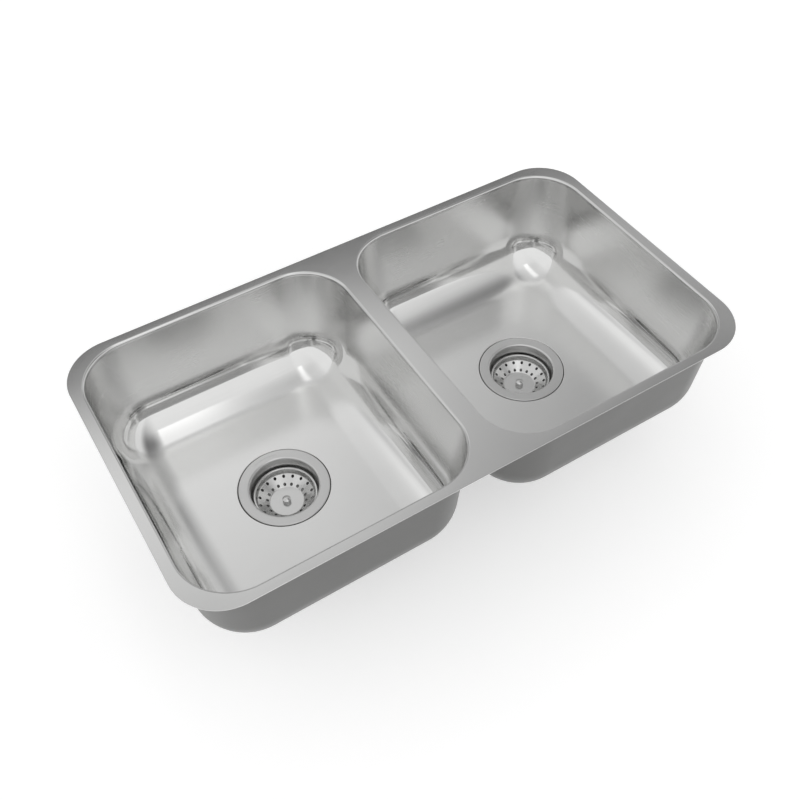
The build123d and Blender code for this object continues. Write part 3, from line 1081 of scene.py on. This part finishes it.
class SINK_OT_fit_seals(bpy.types.Operator):
    """Give the seals, inserts and clamp screws their finish, and build the sound pads"""

    bl_idname = "sink.fit_seals"
    bl_label = "Seals and pads"

    def execute(self, context):
        shape = context.scene.sink_shape
        pad_steps = 6
        kept = {
            "flange_seal": "seal_rubber",
            "body_gasket": "seal_rubber",
            "brass_insert": "insert_brass",
            "clamp_screw": "fitting_steel",
        }
        for side in SIDES:
            for part, finish in kept.items():
                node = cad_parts[f"{side}_{part}"]
                node.data.materials.clear()
                node.data.materials.append(finish_of(finish))
            low, high, centre = space(f"{side}_sound_pad")
            bm = bmesh.new()
            edge = rounded_rectangle(shape, low, high, (shape.pad_corner,) * 4)
            hole = circle_outline(shape, centre, shape.pad_hole)
            rings = []
            for step in range(pad_steps + 1):
                rings.append(add_ring(bm, between(edge, hole, step / pad_steps), high.z))
            bridge_rings(bm, rings)
            name, nodes = f"{side}_pad_sheet", [f"{side}_sound_pad"]
            make_piece(name, bm, "pad_rubber", "root", nodes, high.z - low.z, edge=0.0005)
        return {"FINISHED"}


class SINK_OT_build_stage(bpy.types.Operator):
    """Set the camera, the lamps, the world and the floor"""

    bl_idname = "sink.build_stage"
    bl_label = "Stage"

    def execute(self, context):
        scene = context.scene
        scene.view_settings.view_transform = "Standard"
        self.set_camera(scene)
        self.lay_floor(scene)
        self.light(scene)
        return {"FINISHED"}

    def set_camera(self, scene):
        data = bpy.data.cameras.new("camera")
        data.sensor_width = 36.0
        data.lens = CAMERA_LENS
        camera = bpy.data.objects.new("camera", data)
        camera.location = CAMERA_PLACE
        turn, tilt, roll = map(math.radians, (CAMERA_TURN, CAMERA_TILT, CAMERA_ROLL))
        aim = Matrix.Rotation(-turn, 4, "Z") @ Matrix.Rotation(math.pi / 2 - tilt, 4, "X")
        camera.rotation_euler = (aim @ Matrix.Rotation(roll, 4, "Z")).to_euler()
        scene.collection.objects.link(camera)
        scene.camera = camera

    def lay_floor(self, scene):
        reach, height = FLOOR_REACH, cad_box[0].z
        corners = [(-reach, -reach), (reach, -reach), (reach, reach), (-reach, reach)]
        mesh = bpy.data.meshes.new("floor")
        mesh.from_pydata([(x, y, height) for x, y in corners], [], [(0, 1, 2, 3)])
        floor = bpy.data.objects.new("floor", mesh)
        base = scene.sink_finish.floor_colour
        tree, shader = start_material("floor", base, 0.9)
        shader.inputs["Specular IOR Level"].default_value = 0.0
        tint(tree, shader, base, noise(tree, place(tree), 3.0), low=0.99, high=1.01)
        path = add_node(tree, "ShaderNodeLightPath")
        seen = maths(tree, "MAXIMUM", path.outputs["Is Camera Ray"], path.outputs["Is Glossy Ray"])
        seen = maths(tree, "MAXIMUM", seen, path.outputs["Is Transmission Ray"])
        shader.inputs["Emission Color"].default_value = (1.0, 1.0, 1.0, 1.0)
        lift = maths(tree, "MULTIPLY", seen, FLOOR_LIFT)
        tree.links.new(lift, shader.inputs["Emission Strength"])
        mesh.materials.append(finish_of("floor"))
        scene.collection.objects.link(floor)

    def light(self, scene):
        world = bpy.data.worlds.new("studio")
        scene.world = world
        world.use_nodes = True
        tree = world.node_tree
        direction = add_node(tree, "ShaderNodeTexCoord").outputs["Generated"]
        heading = vector_maths(tree, "MULTIPLY", direction, (1.0, 1.0, 0.0))
        heading = vector_maths(tree, "NORMALIZE", heading)
        shaded = 0.0
        for (x, y), levels in SKY:
            towards = vector_maths(tree, "DOT_PRODUCT", heading, (x, y, 0.0))
            towards = maths(tree, "POWER", maths(tree, "MAXIMUM", towards, 0.0), 2.0)
            seen = vector_maths(tree, "MULTIPLY", direction, (abs(x), abs(y), 1.0))
            height = height_of(tree, vector_maths(tree, "NORMALIZE", seen))
            steps = [(math.sin(math.radians(elevation)), grey) for elevation, grey in levels]
            part = maths(tree, "MULTIPLY", towards, ramp(tree, height, steps))
            shaded = maths(tree, "ADD", part, shaded)
        background = tree.nodes["Background"]
        tree.links.new(shaded, background.inputs["Color"])
        background.inputs["Strength"].default_value = 1.0
        for name, width, depth, place_at, grey_level in SOFTBOXES:
            lamp = bpy.data.lights.new(name, "AREA")
            lamp.shape = "RECTANGLE"
            lamp.size, lamp.size_y = width, depth
            lamp.energy = grey_level * math.pi * width * depth
            box = bpy.data.objects.new(name, lamp)
            box.location = place_at
            scene.collection.objects.link(box)


class SINK_PT_panel(bpy.types.Panel):
    """Sizes, finishes and pieces of the sink"""

    bl_idname = "SINK_PT_panel"
    bl_label = "Double Bowl Sink"
    bl_space_type = "VIEW_3D"
    bl_region_type = "UI"
    bl_category = "Sink"

    def draw(self, context):
        layout = self.layout
        for group in PROPERTY_GROUPS:
            box = layout.box()
            settings = getattr(context.scene, group)
            for name in settings.__annotations__:
                box.prop(settings, name)
        for operator in OPERATORS:
            layout.operator(operator.bl_idname)


PROPERTY_GROUPS = {
    "sink_shape": SinkShape,
    "strainer_shape": StrainerShape,
    "waste_shape": WasteShape,
    "sink_finish": SinkFinish,
}
OPERATORS = (
    SINK_OT_build_stage,
    SINK_OT_mix_finishes,
    SINK_OT_press_rim,
    SINK_OT_draw_bowls,
    SINK_OT_press_cups,
    SINK_OT_press_baskets,
    SINK_OT_turn_plugs,
    SINK_OT_mould_wastes,
    SINK_OT_fit_seals,
)


def register():
    for name, group in PROPERTY_GROUPS.items():
        bpy.utils.register_class(group)
        setattr(bpy.types.Scene, name, PointerProperty(type=group))
    for operator in OPERATORS:
        bpy.utils.register_class(operator)
    bpy.utils.register_class(SINK_PT_panel)


def unregister():
    bpy.utils.unregister_class(SINK_PT_panel)
    for operator in reversed(OPERATORS):
        bpy.utils.unregister_class(operator)
    for name, group in reversed(PROPERTY_GROUPS.items()):
        delattr(bpy.types.Scene, name)
        bpy.utils.unregister_class(group)


def main():
    register()
    for operator in OPERATORS:
        group, name = operator.bl_idname.split(".")
        getattr(getattr(bpy.ops, group), name)()


if __name__ == "__main__":
    main()
